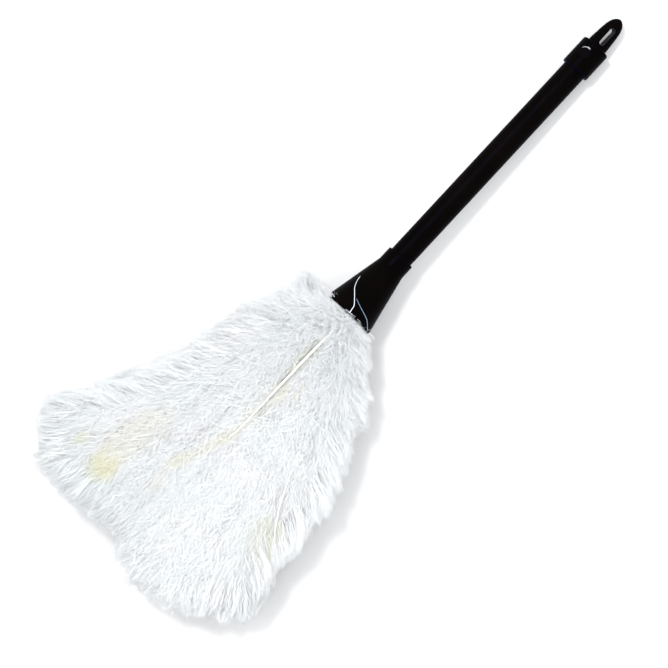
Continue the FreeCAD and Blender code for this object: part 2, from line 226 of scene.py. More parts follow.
def feather_material():
    mat, nt, p = new_material("white_feather")
    co = node(nt, "ShaderNodeTexCoord").outputs["Object"]
    # tint: each vertex's colour, with painted shade mixed in
    tint = node(nt, "ShaderNodeAttribute", attribute_name="tint", attribute_type="GEOMETRY").outputs["Color"]
    broad = node(nt, "ShaderNodeTexNoise", in_Scale=30.0, in_Detail=3.0, in_Roughness=0.55)
    fine = node(nt, "ShaderNodeTexNoise", in_Scale=520.0, in_Detail=2.0, in_Roughness=0.6)
    nt.links.new(co, broad.inputs["Vector"])
    nt.links.new(co, fine.inputs["Vector"])
    wide = ramp(nt, broad.outputs[0], [(0.30, (0.980, 0.992, 0.992)), (0.50, (0.994, 0.995, 1.0)), (0.70, (1.0, 1.0, 1.0))])
    speck = ramp(nt, fine.outputs[0], [(0.30, (0.978, 0.978, 0.978)), (0.5, (1, 1, 1))])
    col = mix(nt, 1.0, mix(nt, 1.0, tint, wide, "MULTIPLY"), speck, "MULTIPLY")
    nt.links.new(col, p.inputs["Base Color"])
    p.inputs["Roughness"].default_value = 0.85
    p.inputs["Specular IOR Level"].default_value = 0.08
    p.inputs["Sheen Weight"].default_value = 0.08
    p.inputs["Sheen Roughness"].default_value = 0.5
    p.inputs["Sheen Tint"].default_value = (0.95, 0.98, 1.0, 1.0)
    return mat


def quill_material():
    mat, nt, p = new_material("quill_shaft")
    co = node(nt, "ShaderNodeTexCoord").outputs["Object"]
    mp = node(nt, "ShaderNodeMapping")
    mp.inputs["Scale"].default_value = (60.0, 900.0, 900.0)
    nt.links.new(co, mp.inputs[0])
    n = node(nt, "ShaderNodeTexNoise", in_Scale=1.0, in_Detail=3.0)
    nt.links.new(mp.outputs[0], n.inputs["Vector"])
    col = ramp(nt, n.outputs[0], [(0.3, (0.80, 0.76, 0.64)), (0.55, (0.88, 0.85, 0.75)), (0.75, (0.93, 0.91, 0.84))])
    nt.links.new(col, p.inputs["Base Color"])
    p.inputs["Roughness"].default_value = 0.38
    p.inputs["Specular IOR Level"].default_value = 0.5
    return mat


def maths(nt, operation, *values):
    n = nt.nodes.new("ShaderNodeMath")
    n.operation = operation
    for i, v in enumerate(values):
        if hasattr(v, "links"):
            nt.links.new(v, n.inputs[i])
        else:
            n.inputs[i].default_value = v
    return n.outputs[0]


def black_material(highlight_at=None):
    """Near-black plastic with dark-blue grazing edges. The argument is the middle of a round boss, in metres; a painted
    highlight, a bright crescent on one side of its rim, is mixed into the base colour there.
    """
    mat, nt, p = new_material("black_moulded_plastic" if highlight_at is None else "black_moulded_plastic_painted_highlight")
    co = node(nt, "ShaderNodeTexCoord").outputs["Object"]
    n = node(nt, "ShaderNodeTexNoise", in_Scale=35.0, in_Detail=4.0)
    nt.links.new(co, n.inputs["Vector"])
    col = ramp(nt, n.outputs[0], [(0.35, (0.0012, 0.0008, 0.0005)), (0.65, (0.0020, 0.0014, 0.0008))])
    if highlight_at is not None:
        sep = node(nt, "ShaderNodeSeparateXYZ")
        nt.links.new(co, sep.inputs[0])
        dx = maths(nt, "SUBTRACT", sep.outputs[0], float(highlight_at[0]))
        dy = maths(nt, "SUBTRACT", sep.outputs[1], float(highlight_at[1]))
        r = maths(nt, "SQRT", maths(nt, "ADD", maths(nt, "MULTIPLY", dx, dx), maths(nt, "MULTIPLY", dy, dy)))
        # painted highlight: a bright crescent on the boss's upper rim, on one side only, standing in for a glint of the
        # light
        facing = maths(nt, "DIVIDE", maths(nt, "ADD", maths(nt, "MULTIPLY", dx, -0.906), maths(nt, "MULTIPLY", dy, -0.423)), r)
        arc = node(nt, "ShaderNodeMapRange", interpolation_type="SMOOTHSTEP")
        nt.links.new(facing, arc.inputs[0])
        arc.inputs[1].default_value, arc.inputs[2].default_value = 0.66, 0.86
        ring = node(nt, "ShaderNodeMapRange", interpolation_type="SMOOTHSTEP")
        nt.links.new(maths(nt, "ABSOLUTE", maths(nt, "SUBTRACT", r, 0.00335)), ring.inputs[0])
        ring.inputs[1].default_value, ring.inputs[2].default_value = 0.00050, 0.00022
        high = maths(nt, "GREATER_THAN", sep.outputs[2], float(highlight_at[2]) - 0.0010)
        painted_highlight = maths(nt, "MULTIPLY", maths(nt, "MULTIPLY", arc.outputs[0], ring.outputs[0]), high)
        col = mix(nt, painted_highlight, col, (0.34, 0.34, 0.37))
    nt.links.new(col, p.inputs["Base Color"])
    r = node(nt, "ShaderNodeTexNoise", in_Scale=160.0, in_Detail=3.0)
    nt.links.new(co, r.inputs["Vector"])
    rr = ramp(nt, r.outputs[0], [(0.3, (0.30,) * 3), (0.7, (0.42,) * 3)])
    nt.links.new(rr, p.inputs["Roughness"])
    b = node(nt, "ShaderNodeBump", in_Strength=0.12, in_Distance=0.0002)
    nt.links.new(r.outputs[0], b.inputs["Height"])
    nt.links.new(b.outputs[0], p.inputs["Normal"])
    p.inputs["Specular IOR Level"].default_value = 0.01
    p.inputs["Specular Tint"].default_value = (0.40, 0.42, 1.0, 1.0)
    p.inputs["Sheen Weight"].default_value = 0.12
    p.inputs["Sheen Roughness"].default_value = 0.2
    p.inputs["Sheen Tint"].default_value = (0.05, 0.05, 1.0, 1.0)
    return mat


FEATHER = feather_material()
QUILL = quill_material()
BLACK = black_material()
# the end cap's plastic, with a painted highlight on its boss
BLACK_PAINTED_HIGHLIGHT = black_material(on_handle(-194.9, -2.47, 8.6))


def plain_noise(name, dark, light, rough, scale):
    mat, nt, p = new_material(name)
    co = node(nt, "ShaderNodeTexCoord").outputs["Object"]
    mp = node(nt, "ShaderNodeMapping")
    mp.inputs["Scale"].default_value = scale
    nt.links.new(co, mp.inputs[0])
    n = node(nt, "ShaderNodeTexNoise", in_Scale=1.0, in_Detail=4.0)
    nt.links.new(mp.outputs[0], n.inputs["Vector"])
    nt.links.new(ramp(nt, n.outputs[0], [(0.35, dark), (0.65, light)]), p.inputs["Base Color"])
    p.inputs["Roughness"].default_value = rough
    return mat


WOOD = plain_noise("turned_wood", (0.42, 0.27, 0.13), (0.62, 0.44, 0.25), 0.6, (25.0, 420.0, 420.0))
CORD = plain_noise("tie_cord", (0.62, 0.57, 0.46), (0.80, 0.76, 0.66), 0.85, (1500.0, 500.0, 500.0))
GLUE = plain_noise("hot_melt", (0.62, 0.50, 0.28), (0.74, 0.63, 0.40), 0.3, (200.0, 200.0, 200.0))
for name, mat in {
    "handle_tube": BLACK, "ferrule": BLACK, "end_cap": BLACK_PAINTED_HIGHLIGHT, "core_stick": WOOD, "adhesive_plug": GLUE,
    "tie_inner": CORD, "tie_middle": CORD, "tie_outer": CORD,
    "quill_butts_inner": QUILL, "quill_butts_middle": QUILL, "quill_butts_outer": QUILL,
}.items():
    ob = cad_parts[name]
    for s in ob.material_slots:
        s.link = "OBJECT"
        s.material = mat

# ------------------------------------------------------------------ strands


def strands(points, width, thick, up):
    """Closed three-sided tapering strands. points (n, m, 3); width and thick (n, m-1) half sizes in mm; up (n, 3). Gives vertices and faces."""
    n, m, _ = points.shape
    t = np.empty_like(points)
    t[:, 1:-1] = points[:, 2:] - points[:, :-2]
    t[:, 0] = points[:, 1] - points[:, 0]
    t[:, -1] = points[:, -1] - points[:, -2]
    t /= np.linalg.norm(t, axis=2, keepdims=True) + 1e-9
    a = np.cross(t, up[:, None, :])
    bad = np.linalg.norm(a, axis=2) < 1e-3
    a[bad] = np.cross(t[bad], np.array([0.3, 0.5, 0.8]))
    a /= np.linalg.norm(a, axis=2, keepdims=True)
    b = np.cross(a, t)
    verts = np.empty((n, 3 * (m - 1) + 1, 3))
    for j in range(m - 1):
        c = points[:, j]
        w = width[:, j, None]
        h = thick[:, j, None]
        verts[:, 3 * j] = c + a[:, j] * w - b[:, j] * h * 0.5
        verts[:, 3 * j + 1] = c - a[:, j] * w - b[:, j] * h * 0.5
        verts[:, 3 * j + 2] = c + b[:, j] * h
    verts[:, -1] = points[:, -1]
    quads, tris = [], [(0, 2, 1)]
    for j in range(m - 2):
        for k in range(3):
            k2 = (k + 1) % 3
            quads.append((3 * j + k, 3 * j + k2, 3 * j + 3 + k2, 3 * j + 3 + k))
    j = m - 2
    for k in range(3):
        tris.append((3 * j + k, 3 * j + (k + 1) % 3, 3 * (m - 1)))
    base = (np.arange(n) * (3 * (m - 1) + 1))[:, None, None]
    return verts.reshape(-1, 3), (np.array(quads)[None] + base).reshape(-1, 4), (np.array(tris)[None] + base).reshape(-1, 3)


def tube(path, radius, sides=10):
    """A closed round tube along path (mm), radius per point, with a point at its far end."""
    path = np.asarray(path, float)
    t = np.gradient(path, axis=0)
    t /= np.linalg.norm(t, axis=1, keepdims=True)
    ref = np.array([0.0, 0.0, 1.0])
    verts = []
    for p, d, r in zip(path[:-1], t[:-1], radius[:-1]):
        a = np.cross(d, ref)
        a /= np.linalg.norm(a)
        b = np.cross(a, d)
        for k in range(sides):
            q = 2 * math.pi * k / sides
            verts.append(p + r * (math.cos(q) * a + math.sin(q) * b))
    verts.append(path[-1])
    verts.append(path[0])
    quads, tris = [], []
    rings = len(path) - 1
    for j in range(rings - 1):
        for k in range(sides):
            k2 = (k + 1) % sides
            quads.append((j * sides + k, j * sides + k2, (j + 1) * sides + k2, (j + 1) * sides + k))
    end, start = rings * sides, rings * sides + 1
    for k in range(sides):
        k2 = (k + 1) % sides
        tris.append(((rings - 1) * sides + k, (rings - 1) * sides + k2, end))
        tris.append((k2, k, start))
    return np.array(verts), np.array(quads), np.array(tris)


def mesh_from(name, parts):
    """One mesh object from (verts mm, quads, tris, material index) parts."""
    verts, loops, starts, totals, mats = [], [], [], [], []
    offset, loop_at = 0, 0
    for v, q, t, mi in parts:
        verts.append(v)
        for f in (q, t):
            if len(f) == 0:
                continue
            k = f.shape[1]
            loops.append((f + offset).ravel())
            starts.append(loop_at + np.arange(len(f)) * k)
            totals.append(np.full(len(f), k))
            mats.append(np.full(len(f), mi))
            loop_at += len(f) * k
        offset += len(v)
    verts = np.concatenate(verts) / 1000.0
    loops, starts, totals, mats = (np.concatenate(x).astype(np.int32) for x in (loops, starts, totals, mats))
    me = bpy.data.meshes.new(name)
    me.vertices.add(len(verts))
    me.vertices.foreach_set("co", verts.astype(np.float32).ravel())
    me.loops.add(len(loops))
    me.loops.foreach_set("vertex_index", loops)
    me.polygons.add(len(starts))
    me.polygons.foreach_set("loop_start", starts)
    me.polygons.foreach_set("loop_total", totals)
    me.polygons.foreach_set("material_index", mats)
    me.polygons.foreach_set("use_smooth", np.ones(len(starts), bool))
    me.update(calc_edges=True)
    me.validate()
    ob = bpy.data.objects.new(name, me)
    SCENE.collection.objects.link(ob)
    return ob


def smooth01(t):
    t = np.clip(t, 0.0, 1.0)
    return t * t * (3 - 2 * t)


def feather_frames(f, rings):
    """Points every millimetre along a feather, with its along, across and outward directions (mm, world)."""
    row, k, n = f["row"], f["k"], f["n"]
    xs = np.arange(-1.5 if row != "outer" else -1.0, f["end"] + 0.01, 1.0)
    p, a = [], []
    for x in xs:
        y, z = centre(row, f["mouth"], f["ring"], x)
        (y0, z0), (y1, z1) = (centre(row, o["mouth"], o["ring"], x) for o in (rings[(k - 1) % n], rings[(k + 1) % n]))
        p.append((x, y, z))
        a.append((0.0, y1 - y0, z1 - z0))
    p, a = np.array(p) + SHIFT, np.array(a)
    t = np.gradient(p, axis=0)
    t /= np.linalg.norm(t, axis=1, keepdims=True)
    a -= t * (a * t).sum(1, keepdims=True)
    a /= np.linalg.norm(a, axis=1, keepdims=True)
    u = np.cross(t, a)
    # outward: away from the plume's middle line
    mid = np.array([(x, 0.0, curve(MIDDLE, max(0, x))) for x in xs]) + SHIFT
    sign = np.sign(((p - mid) * u).sum(1))
    sign[sign == 0] = 1
    # one sense for the whole feather
    s = 1.0 if sign.sum() >= 0 else -1.0
    return p, t, a, u * s


def sample(arr, s):
    i = np.clip(s, 0, len(arr) - 1.001)
    lo = i.astype(int)
    f = (i - lo)[:, None]
    return arr[lo] * (1 - f) + arr[lo + 1] * f


FLOOR_CLEAR = 0.25
# where the down ends, seen from above, in the handle's lying frame (x towards the feathers, y to the left), mm
OUTLINE = [
    (-2.8, -20.6), (-3.8, -34.1), (4.7, -38.6), (19.6, -38.6), (26.1, -45.0), (35.4, -48.9), (46.4, -51.3), (58.7, -52.3), (70.5, -56.4), (88.1, -62.5),
    (107.5, -72.1), (131.1, -85.2), (146.3, -93.7), (152.7, -91.7), (168.8, -76.7), (175.6, -75.9), (178.0, -69.2), (179.5, -46.5), (177.6, -28.3),
    (174.7, -21.1), (176.3, -13.3), (183.6, -6.5), (190.0, 8.2), (188.6, 20.6), (188.1, 34.0), (181.1, 46.2), (173.0, 56.2), (170.5, 66.4), (160.7, 73.5),
    (147.1, 73.4), (126.8, 68.3), (113.2, 68.2), (98.9, 67.5), (88.5, 66.5), (76.7, 63.1), (64.9, 59.6), (50.9, 50.4), (37.5, 50.0), (26.9, 41.2), (15.8, 31.7),
    (3.7, 20.4), (-0.8, 14.5), (-12.0, 0.0),
]
SIDEWAYS = 1.2      # the plume's middle line stands this far to the right of the handle's
OUTLINE = [(x, y + SIDEWAYS) for x, y in OUTLINE]
# the two shafts that show: (x, y, height over the surface that the down grows from)
TOP_SHAFT = [(0, 1.2, 0.0), (10, 0.4, 0.2), (20.3, -0.3, 2.4), (45.3, -0.7, 3.2), (62, -0.7, 2.9), (70, -0.8, 2.2), (81, -0.7, 1.0), (93, -1.6, 0.3), (110, -6.6, 0.0), (125, -12.7, -0.6), (138, -18.5, -2.0), (160, -26.0, -3.0)]
SIDE_SHAFT = [(60, 27.0, -2.5), (80, 34.0, -1.5), (90, 38.4, 0.5), (97, 41.6, 2.2), (106.2, 46.0, 2.8), (111.5, 49.1, 2.8), (119.3, 56.0, 2.0), (124, 59.6, -0.5), (130, 63.0, -4.0), (138, 64.0, -7.0), (170, 60.0, -9.0)]
SIDE_NAME = "outer_18"

gx, gy = np.arange(-40.0, 206.0), np.arange(-112.0, 94.0)


def signed_distance():
    """Distance in from OUTLINE every millimetre, minus outside."""
    px, py = np.meshgrid(gx, gy, indexing="ij")
    p = np.stack([px.ravel(), py.ravel()], 1)
    best = np.full(len(p), 1e9)
    inside = np.zeros(len(p), bool)
    for a, b in zip(OUTLINE, OUTLINE[1:] + OUTLINE[:1]):
        a, b = np.array(a), np.array(b)
        t = np.clip(((p - a) @ (b - a)) / ((b - a) @ (b - a)), 0, 1)
        best = np.minimum(best, np.linalg.norm(p - a - t[:, None] * (b - a), axis=1))
        cross = (a[1] > p[:, 1]) != (b[1] > p[:, 1])
        at = a[0] + (p[:, 1] - a[1]) * (b[0] - a[0]) / (b[1] - a[1] + 1e-12)
        inside ^= cross & (p[:, 0] < at)
    return (np.where(inside, 1, -1) * best).reshape(px.shape)


def bilinear(table, i, j):
    i = np.clip(i, 0, table.shape[0] - 1.001)
    j = np.clip(j, 0, table.shape[1] - 1.001)
    a, b = i.astype(int), j.astype(int)
    f, g = i - a, j - b
    return (table[a, b] * (1 - f) * (1 - g) + table[a + 1, b] * f * (1 - g) + table[a, b + 1] * (1 - f) * g + table[a + 1, b + 1] * f * g)


DEPTH = signed_distance()
seeded = np.random.default_rng(77)
TUFT_NOISE = [seeded.normal(0, 1, (140, 120)), seeded.normal(0, 1, (60, 60)), seeded.normal(0, 1, (40, 40))]


def depth(x, y):
    return bilinear(DEPTH, x - gx[0], y - gy[0])


def noise2(x, y, layer, cell):
    return bilinear(TUFT_NOISE[layer], (x + 60) / cell, (y + 130) / cell)


# ------------------------------------------------------------------ the plume's outer surface
OUTER_RING = angles_of("outer")
OUTER_MOUTH = [OUTER_RING[0] + 2 * math.pi * k / 20 for k in range(20)]
KNOT_X = np.arange(-10.0, 206.0)
T_RIGHT, T_LEFT, T_TOP, T_MID, T_BOTTOM = (np.array([curve(c, max(0.0, x)) for x in KNOT_X]) for c in (WIDTH_RIGHT, WIDTH_LEFT, TOP["outer"], MIDDLE, BOTTOM["outer"]))
unwrapped = np.unwrap(np.array(OUTER_RING + [OUTER_RING[0] + 2 * math.pi]))
mouths = np.array(OUTER_MOUTH + [OUTER_MOUTH[0] + 2 * math.pi])


# the down stands out past the feathers' own lines at the sides, nearly to OUTLINE
EDGE_LEFT = [(-5, 23), (5, 26), (20, 29), (35, 38.5), (46, 41), (59, 42.6), (70, 46.8), (88, 53), (107, 62.5), (131, 75), (146, 83), (160, 85), (206, 85)]
EDGE_RIGHT = [(-5, 11), (4, 14), (16, 25), (27, 34), (37.5, 42.5), (51, 44), (65, 52), (77, 55.8), (88, 59), (99, 60), (127, 61.7), (147, 66), (206, 67)]
T_LEFT = np.maximum(T_LEFT, np.interp(KNOT_X, *zip(*EDGE_LEFT)))
T_RIGHT = np.maximum(T_RIGHT, np.interp(KNOT_X, *zip(*EDGE_RIGHT)))


def surface(phi, x):
    """Points of the down's surface; phi grows from the top feather's own angle."""
    turn = np.floor((phi - unwrapped[0]) / (2 * math.pi))
    local = phi - turn * 2 * math.pi
    mouth_phi = np.interp(local, unwrapped, mouths)
    at = lambda table: np.interp(x, KNOT_X, table)
    c, s = np.cos(phi), np.sin(phi)
    ry = np.where(c >= 0, at(T_RIGHT), at(T_LEFT)) * c
    rz = at(T_MID) + np.where(s >= 0, at(T_TOP) - at(T_MID), at(T_MID) - at(T_BOTTOM)) * s
    grow = 1 + 0.006 * x
    ny, nz = ROW_R_MOUTH["outer"] * np.cos(mouth_phi) * grow, MOUTH_Z + math.tan(TILT) * x + ROW_R_MOUTH["outer"] * np.sin(mouth_phi) * grow
    t = smooth01((x + 2.0) / 17.0)
    return np.stack([x, ny * (1 - t) + ry * t, nz * (1 - t) + rz * t], -1)


def surface_frame(phi, x):
    p = surface(phi, x)
    along = surface(phi, x + 1.0) - surface(phi, x - 1.0)
    around = surface(phi + 0.02, x) - surface(phi - 0.02, x)
    area = np.linalg.norm(np.cross(along / 2, around / 0.04), axis=1)
    per_phi = np.linalg.norm(around, axis=1) / 0.04
    along /= np.linalg.norm(along, axis=1, keepdims=True)
    nrm = np.cross(along, around)
    nrm /= np.linalg.norm(nrm, axis=1, keepdims=True) + 1e-9
    axis_pt = np.stack([x, np.zeros_like(x), np.interp(x, KNOT_X, T_MID)], -1)
    nrm *= np.where(((p - axis_pt) * nrm).sum(1, keepdims=True) < 0, -1.0, 1.0)
    return p, along, nrm, area, per_phi


def end_at(y):
    return np.interp(y, [p[0] for p in FAR_EDGE], [p[1] for p in FAR_EDGE])


def scatter(rng, count, low, high, weight):
    """count (phi, x) pairs spread evenly over the surface's area between x = low and high, times weight(normal, x)."""
    phis, xs = [], []
    have = 0
    while have < count:
        phi = unwrapped[0] + rng.uniform(0, 2 * math.pi, count * 3)
        x = rng.uniform(low, high, count * 3)
        p, _, nrm, area, _ = surface_frame(phi, x)
        keep = (rng.random(count * 3) < area / 95.0 * weight(nrm, x)) & (x < end_at(p[:, 1]) - 1.0)
        phis.append(phi[keep])
        xs.append(x[keep])
        have += int(keep.sum())
    return np.concatenate(phis)[:count], np.concatenate(xs)[:count]


def held_in(pts, rng, extra=0.0):
    """Strands shortened so that they end at the outline, with a ragged edge. Returns the strands and which of them to keep."""
    tip, root = pts[:, -1], pts[:, 0]
    want = 0.6 + 3.2 * noise2(tip[:, 0], tip[:, 1], 0, 3.4) + 1.5 * noise2(tip[:, 0], tip[:, 1], 1, 9.0) + rng.uniform(-0.5, 1.1, len(pts)) + extra
    want = np.maximum(want, -3.0)
    d0 = depth(root[:, 0], root[:, 1])
    factor = np.ones(len(pts))
    for j in range(1, pts.shape[1]):
        d1 = depth(pts[:, j, 0], pts[:, j, 1])
        factor = np.minimum(factor, np.where(d1 < want, np.clip((d0 - want) / np.maximum(d0 - d1, 1e-3), 0.0, 1.0), 1.0))
    pts = root[:, None] + (pts - root[:, None]) * factor[:, None, None]
    return pts, (factor > 0.22)


def grow(root, flow, side, nrm, az, el, long, rng, m, droop=0.5, curl=0.35, wave=0.45):
    """Curling strands from their roots: az turns them about nrm, el lifts them off the surface."""
    n = len(root)
    pts = np.empty((n, m, 3))
    pts[:, 0] = root
    twist = rng.normal(0, curl, n)
    bow = rng.normal(0, curl, n)
    phase = rng.random(n) * 6.28
    step = (long / (m - 1))[:, None]
    for j in range(1, m):
        w = (j - 0.5) / (m - 1)
        a = az + twist * (w - 0.2) * 1.6
        e = el * (1 - droop * w) + bow * (w - 0.2)
        d = flow * (np.cos(e) * np.cos(a))[:, None] + side * (np.cos(e) * np.sin(a))[:, None] + nrm * np.sin(e)[:, None]
        pts[:, j] = pts[:, j - 1] + d * step + side * (np.sin(phase + 5.5 * w) * wave * w)[:, None]
    return pts


def colour_and_painted_shade_of(p, strand):
    """Colour of each vertex, with painted shade: p (n, 3) mm in the lying frame, strand (n) a random number of its
    strand.
    """
    x, y = p[:, 0], p[:, 1]
    broad = noise2(x, y, 2, 16.0)
    mid = noise2(x, y, 1, 6.0)
    warm = np.clip(0.5 + 0.35 * broad + 0.2 * mid, 0, 1)[:, None]
    col = np.array([0.962, 0.984, 0.990]) * (1 - warm) + np.array([0.984, 0.989, 0.992]) * warm
    top = smooth01((p[:, 2] - 16.0) / 14.0)
    for cx, cy, rx, ry, turn, tint, amount in PATCHES:
        c, s = math.cos(turn), math.sin(turn)
        dx, dy = x - cx, y - cy
        r = np.hypot((dx * c + dy * s) / rx, (-dx * s + dy * c) / ry) + 0.16 * mid
        k = amount * (1 - smooth01((r - 0.35) / 0.75)) * top * (0.55 + 0.45 * np.clip(strand * 1.6, 0, 1))
        col = col * (1 - k[:, None]) + np.array(tint) * k[:, None]
    # painted shade: whitest over the middle of the far lobe, a little greyer elsewhere, and darker towards the outline,
    # more on the high strands than on the low ones
    away = np.hypot((x - 119.0) / 75.0, (y - 37.0) / 45.0)
    edge = (1 - smooth01(depth(x, y) / 15.0)) * (0.2 + 0.8 * smooth01((p[:, 2] - 9.0) / 14.0))
    painted_shade = 1 - 0.055 * smooth01((away - 0.5) / 1.0) - edge * (0.085 - 0.05 * smooth01(y / 20) * (1 - smooth01((x - 115) / 35)) + (0.045 + 0.035 * smooth01((10 - y) / 30)) * smooth01((x - 120) / 30) + 0.02 * smooth01((10 - y) / 30) * (1 - smooth01((x - 120) / 30)))
    return np.clip(col * (painted_shade * (0.985 + 0.02 * strand))[:, None], 0, 1)


GOLD, CREAM, OLIVE, FAWN = (0.955, 0.925, 0.70), (0.972, 0.962, 0.905), (0.87, 0.885, 0.76), (0.93, 0.912, 0.80)
PATCHES = [
    (150.0, -42.1, 12.5, 10.5, 0.0, GOLD, 0.95),
    (129.1, -41.3, 27.0, 13.0, -0.45, CREAM, 0.9),
    (110.7, -36.7, 14.0, 9.5, -0.45, CREAM, 0.6),
    (148.0, -60.7, 6.0, 3.4, -0.4, OLIVE, 0.85),
    (35.5, -1.5, 17.0, 4.2, 0.0, FAWN, 0.6),
    (57.0, 0.8, 14.0, 6.0, 0.0, FAWN, 0.6),
    (48.4, 9.6, 8.0, 2.6, 0.1, FAWN, 0.6),
    (77.2, -0.7, 12.0, 6.0, 0.0, CREAM, 0.8),
    (92.1, -3.2, 12.0, 4.2, -0.3, FAWN, 0.6),
    (105.8, -7.6, 12.0, 4.2, -0.45, FAWN, 0.7),
    (119.9, -13.1, 12.0, 4.5, -0.4, FAWN, 0.7),
    (136.2, -14.5, 12.0, 5.0, 0.0, CREAM, 0.6),
    (119.1, 52.2, 16.0, 2.4, 0.766, OLIVE, 1.0),
    (111.5, 52.4, 9.5, 2.4, 0.70, OLIVE, 1.0),
    (123.2, 47.7, 17.0, 7.5, 0.766, CREAM, 0.75),
]


def clear_of_shafts(root, tip):
    """False for a strand that would lie over one of the two shafts that show."""
    keep = np.ones(len(root), bool)
    for shaft, stops, widths in ((TOP_SHAFT, [14, 22, 64, 72, 80], [0.0, 1.1, 0.8, 0.3, 0.0]), (SIDE_SHAFT, [94, 99, 108, 115], [0.0, 0.35, 0.35, 0.0])):
        xs = [q[0] for q in shaft]
        ys = [q[1] for q in shaft]
        for p in (root, (root + tip) / 2, tip):
            off = np.abs(p[:, 1] - np.interp(p[:, 0], xs, ys))
            keep &= ~((off < np.interp(p[:, 0], stops, widths)) & (p[:, 2] > 26))
    return keep


PLUME_FEATHERS = []
for row in ROWS:
    ring = angles_of(row)
    n = len(ring)
    members = [{"row": row, "k": k, "n": n, "ring": a, "mouth": ring[0] + 2 * math.pi * k / n, "end": feather_end(row, k, a), "name": "%s_%02d" % (row, k + 1)} for k, a in enumerate(ring)]
    for f in members:
        f["p"], f["t"], f["a"], f["u"] = feather_frames(f, members)
        f["p"] = f["p"] - SHIFT
        f["parts"] = []
        PLUME_FEATHERS.append(f)
OUTER = [f for f in PLUME_FEATHERS if f["row"] == "outer"]


MOST = 186000      # triangles in one piece
TUFTS = np.array([tuft("outer", k) for k in range(20)])


def add_strands(feathers, which, pts, width, thick, up, strand):
    """Shares strands out to the feathers that hold them. One that is full hands the rest to the emptiest feather of its tuft."""
    each = 6 * (pts.shape[1] - 2) + 4
    if len(feathers) > 1:
        which = which.copy()
        held = np.array([sum(2 * len(q[1]) + len(q[2]) for q in f["parts"]) for f in feathers])
        for k in np.unique(which):
            mine = np.flatnonzero(which == k)
            room = max(0, int((MOST - held[k]) // each))
            for piece in np.array_split(mine[room:], max(1, len(mine[room:]) // 400)):
                if len(piece):
                    load = held + each * np.bincount(which, minlength=len(feathers))
                    load = np.where(TUFTS == TUFTS[k], load, 10**9)
                    which[piece] = int(np.argmin(load))
    for k in np.unique(which):
        sel = which == k
        v, qd, tr = strands(pts[sel], width[sel], thick[sel], up[sel])
        per = len(v) // int(sel.sum())
        s = np.repeat(strand[sel], per)
        feathers[k]["parts"].append((v, qd, tr, 0, colour_and_painted_shade_of(v, s)))


def nearest_feather(p, feathers, rng):
    """The feather each place belongs to, with the ones beside it sharing the places between."""
    best, which = np.full(len(p), 1e9), np.zeros(len(p), int)
    for k, f in enumerate(feathers):
        xs = f["p"][:, 0]
        i = np.clip(np.round(p[:, 0] - xs[0]).astype(int), 0, len(xs) - 1)
        d = np.linalg.norm(f["p"][i, 1:] - p[:, 1:], axis=1) + 0.5 * np.maximum(0, p[:, 0] - xs[-1]) + rng.uniform(0, 9, len(p))
        sel = d < best
        best[sel], which[sel] = d[sel], k
    return which


MANY = 1.0 if FINE else 0.4


